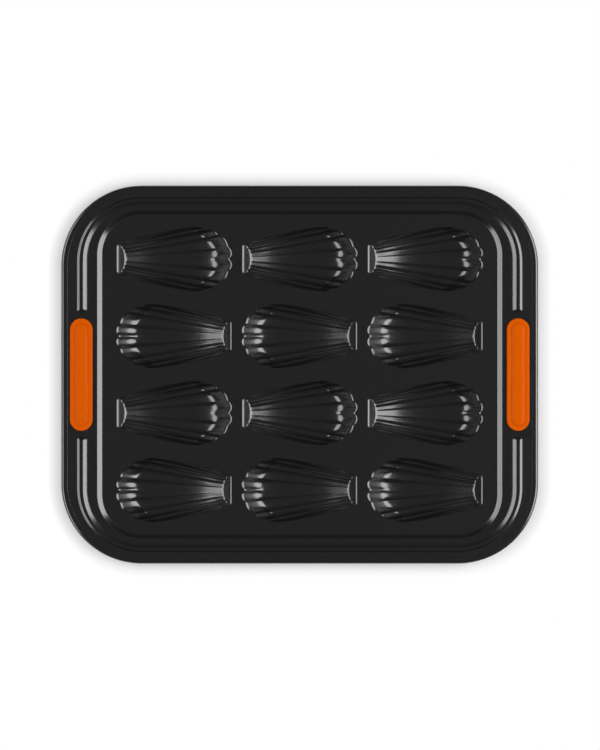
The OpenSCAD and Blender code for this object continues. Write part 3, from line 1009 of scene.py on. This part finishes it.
# The height that the camera distance is measured from, and how far the camera is off the middle.
RIM_Z = 15.95 * MM
CAMERA_SHIFT = (0.25 * MM, -0.34 * MM)
SENSOR = 36.0
FLOOR_SIZE = 7
FLOOR_DROP = 0.1 * MM
# The floor's own light turns from this share to white over this distance outside the outline of the
# pan, whose corners have this radius. Near the pan it glows less, which paints a band of shade
# round the pan on top of its real shadow.
PAINTED_HALO_GLOW_SHARE = 0.25
PAINTED_HALO_FADE = 12.5 * MM
FLOOR_CORNER_R = 68 * MM
# Heights on the world's sphere, from 0 at the horizon to 1 overhead: where the room's light begins
# to grow from this share of its full strength, and where the pale horizon ends.
ROOM_HEIGHT = 0.3
ROOM_LOW_SHARE = 0.3
HORIZON = 0.03


def soft_box(name, side, half_y, low, high, brightness, studio):
    light = bpy.data.lights.new(name, "AREA")
    light.shape = "RECTANGLE"
    light.size = 2 * half_y
    light.size_y = high - low
    light.energy = brightness * math.pi * light.size * light.size_y
    box = bpy.data.objects.new(name, light)
    box.location = (side * studio.lamp_distance, 0, (high + low) / 2)
    box.rotation_euler = (math.pi / 2, 0, side * math.pi / 2)
    box.visible_camera = False
    bpy.context.scene.collection.objects.link(box)


def only_seen(nodes, join, value):
    """The value for camera rays and reflections, and 0 for the light that falls on things."""
    path = nodes.new("ShaderNodeLightPath")
    seen = nodes.new("ShaderNodeMath")
    seen.operation = "MAXIMUM"
    join(path.outputs["Is Camera Ray"], seen.inputs[0])
    join(path.outputs["Is Glossy Ray"], seen.inputs[1])
    both = nodes.new("ShaderNodeMath")
    both.operation = "MULTIPLY"
    join(value, both.inputs[0])
    join(seen.outputs[0], both.inputs[1])
    return both.outputs[0]


def floor_material():
    material, nodes, join, principled = shader("Pale floor")
    set_sockets(principled, {
        "Base Color": (0.96, 0.96, 0.96, 1),
        "Roughness": 0.9,
        "Specular IOR Level": 0,
    })
    reach = nodes.new("ShaderNodeTexCoord").outputs["Object"]
    corner = FLOOR_CORNER_R
    for operation, value in (
        ("ABSOLUTE", None),
        ("SUBTRACT", (HALF_L - corner, HALF_W - corner, 0)),
        ("MAXIMUM", (0, 0, 0)),
        ("LENGTH", None),
    ):
        step = nodes.new("ShaderNodeVectorMath")
        step.operation = operation
        join(reach, step.inputs[0])
        if value:
            step.inputs[1].default_value = value
        reach = step.outputs["Value" if operation == "LENGTH" else "Vector"]
    # Painted shade: the floor glows less near the pan's outline, which darkens a band round the pan
    # on top of its real shadow.
    glow_beyond_painted_halo = ranged(nodes, join, reach, corner, corner + PAINTED_HALO_FADE, PAINTED_HALO_GLOW_SHARE, 1)
    glow = nodes.new("ShaderNodeEmission")
    mix = nodes.new("ShaderNodeMixShader")
    join(only_seen(nodes, join, glow_beyond_painted_halo), mix.inputs[0])
    join(principled.outputs[0], mix.inputs[1])
    join(glow.outputs[0], mix.inputs[2])
    join(mix.outputs[0], nodes["Material Output"].inputs["Surface"])
    return material


def build_world(studio):
    world = bpy.data.worlds.new("Studio")
    world.use_nodes = True
    nodes = world.node_tree.nodes
    join = world.node_tree.links.new
    room = nodes["Background"]
    room.inputs["Color"].default_value = (1, 1, 1, 1)
    pale = nodes.new("ShaderNodeBackground")
    pale.inputs["Color"].default_value = (1, 1, 1, 1)
    where = nodes.new("ShaderNodeTexCoord")
    parts = nodes.new("ShaderNodeSeparateXYZ")
    join(where.outputs["Generated"], parts.inputs[0])
    low = ranged(nodes, join, parts.outputs["Z"], 0, HORIZON, 1, 0)
    light = studio.room_light
    high = ranged(nodes, join, parts.outputs["Z"], ROOM_HEIGHT, 1, ROOM_LOW_SHARE * light, light)
    join(high, room.inputs["Strength"])
    mix = nodes.new("ShaderNodeMixShader")
    join(only_seen(nodes, join, low), mix.inputs[0])
    join(room.outputs[0], mix.inputs[1])
    join(pale.outputs[0], mix.inputs[2])
    join(mix.outputs[0], nodes["World Output"].inputs["Surface"])
    bpy.context.scene.world = world


def build_camera(studio):
    data = bpy.data.cameras.new("Camera")
    data.sensor_fit = "HORIZONTAL"
    data.sensor_width = SENSOR
    data.lens = SENSOR * studio.camera_distance / studio.frame_width
    data.clip_end = 50
    camera = bpy.data.objects.new("Camera", data)
    camera.location = (*CAMERA_SHIFT, RIM_Z + studio.camera_distance)
    bpy.context.scene.collection.objects.link(camera)
    bpy.context.scene.camera = camera


# ---- operators ----


def pan(context):
    return context.scene.shell_pan


class PAN_OT_stage(bpy.types.Operator):
    """Make the floor, the soft boxes, the world and the camera"""

    bl_idname = "pan.stage"
    bl_label = "Stage"

    def execute(self, context):
        studio = pan(context).studio
        bpy.ops.mesh.primitive_plane_add(size=FLOOR_SIZE, location=(0, 0, -FLOOR_DROP))
        floor = context.object
        floor.name = "floor"
        floor.data.materials.append(floor_material())
        soft_box("right_soft_box", 1, RIGHT_HALF_Y, *RIGHT_SPAN, studio.right_lamp, studio)
        board = (BOARD_LOW, RIGHT_SPAN[0])
        soft_box("right_board", 1, RIGHT_HALF_Y, *board, studio.right_board, studio)
        soft_box("left_soft_box", -1, LEFT_HALF_Y, *LEFT_SPAN, studio.left_lamp, studio)
        build_world(studio)
        build_camera(studio)
        context.scene.view_settings.view_transform = "Standard"
        return {"FINISHED"}


class PAN_OT_sheet(bpy.types.Operator):
    """Make the pressed sheet: rows of cups, the deck between them and the flange"""

    bl_idname = "pan.sheet"
    bl_label = "Pressed sheet"

    def execute(self, context):
        settings = pan(context)
        material = kept("Non-stick coating", coating, settings.finish)
        form = ShellForm(settings.cup)
        one, skirt = cup_mesh(form, material)
        tree = cup_row_tree()
        holes = []
        for r in range(1, ROWS + 1):
            turn = 0 if r % 2 else math.pi
            y = ((ROWS + 1) / 2 - r) * ROW_PITCH
            first = (-(COLUMNS - 1) / 2 * COLUMN_PITCH, y, DECK_Z)
            row = bpy.data.objects.new(f"cup_row_{r}", one.data.copy())
            context.scene.collection.objects.link(row)
            nodes = row.modifiers.new("Row of cups", "NODES")
            nodes.node_group = tree
            set_inputs(nodes, {
                "Cups": settings.columns,
                "First cup": first,
                "Spacing": COLUMN_PITCH,
                "Turn": turn,
                "Finish": material,
            })
            as_plain_mesh(row)
            cups = [f"shell_cup_r{r}c{c}" for c in range(1, COLUMNS + 1)]
            finished(row, "nonstick_steel", *cups)
            sign = 1 if r % 2 else -1
            for c in range(COLUMNS):
                holes.append(sign * skirt + np.array([first[0] + c * COLUMN_PITCH, y]))
        bpy.data.objects.remove(one)
        flange, inner = flange_mesh(settings.sheet, material)
        finished(flange, "nonstick_steel", "pan_flange")
        deck = deck_mesh(inner, holes, material)
        finished(deck, "nonstick_steel", "pan_deck")
        return {"FINISHED"}


class PAN_OT_rim(bpy.types.Operator):
    """Make the rolled rim and the wire inside it"""

    bl_idname = "pan.rim"
    bl_label = "Rolled rim"

    def execute(self, context):
        settings = pan(context)
        sheet = settings.sheet
        material = kept("Non-stick coating", coating, settings.finish)
        roll = swept("rim_roll", roll_section(sheet), sheet, material)
        finished(roll, "nonstick_steel", "rolled_rim")
        steel = kept("Drawn wire", drawn_wire, settings.finish)
        wire = swept("rim_wire_ring", wire_section(sheet), sheet, steel)
        finished(wire, "rim_wire_steel", "rim_wire")
        return {"FINISHED"}


class PAN_OT_grips(bpy.types.Operator):
    """Make the two silicone grips"""

    bl_idname = "pan.grips"
    bl_label = "Silicone grips"

    def execute(self, context):
        settings = pan(context)
        material = kept("Silicone", silicone, settings.finish)
        for side, word in ((-1, "left"), (1, "right")):
            piece = grip_mesh(f"{word}_grip_pad", settings.grip, settings.sheet, side, material)
            finished(piece, "silicone", f"grip_{word}")
        return {"FINISHED"}


class PAN_PT_panel(bpy.types.Panel):
    """Sizes, colours and steps of the pan"""

    bl_idname = "PAN_PT_panel"
    bl_label = "Cake pan"
    bl_space_type = "VIEW_3D"
    bl_region_type = "UI"
    bl_category = "Cake pan"

    def draw(self, context):
        settings = pan(context)
        for title, group, operator in (
            ("Cups", settings.cup, "pan.sheet"),
            ("Flange and rim", settings.sheet, "pan.rim"),
            ("Grips", settings.grip, "pan.grips"),
            ("Finish", settings.finish, None),
            ("Studio", settings.studio, "pan.stage"),
        ):
            box = self.layout.box()
            box.label(text=title)
            for name in group.__annotations__:
                box.prop(group, name)
            if operator:
                box.operator(operator)


CLASSES = (
    CupSettings,
    SheetSettings,
    GripSettings,
    FinishSettings,
    StudioSettings,
    PanSettings,
    PAN_OT_stage,
    PAN_OT_sheet,
    PAN_OT_rim,
    PAN_OT_grips,
    PAN_PT_panel,
)


def register():
    for item in CLASSES:
        bpy.utils.register_class(item)
    bpy.types.Scene.shell_pan = PointerProperty(type=PanSettings)


def unregister():
    del bpy.types.Scene.shell_pan
    for item in reversed(CLASSES):
        bpy.utils.unregister_class(item)


def main():
    register()
    bpy.ops.pan.stage()
    bpy.ops.pan.sheet()
    bpy.ops.pan.rim()
    bpy.ops.pan.grips()


if __name__ == "__main__":
    main()
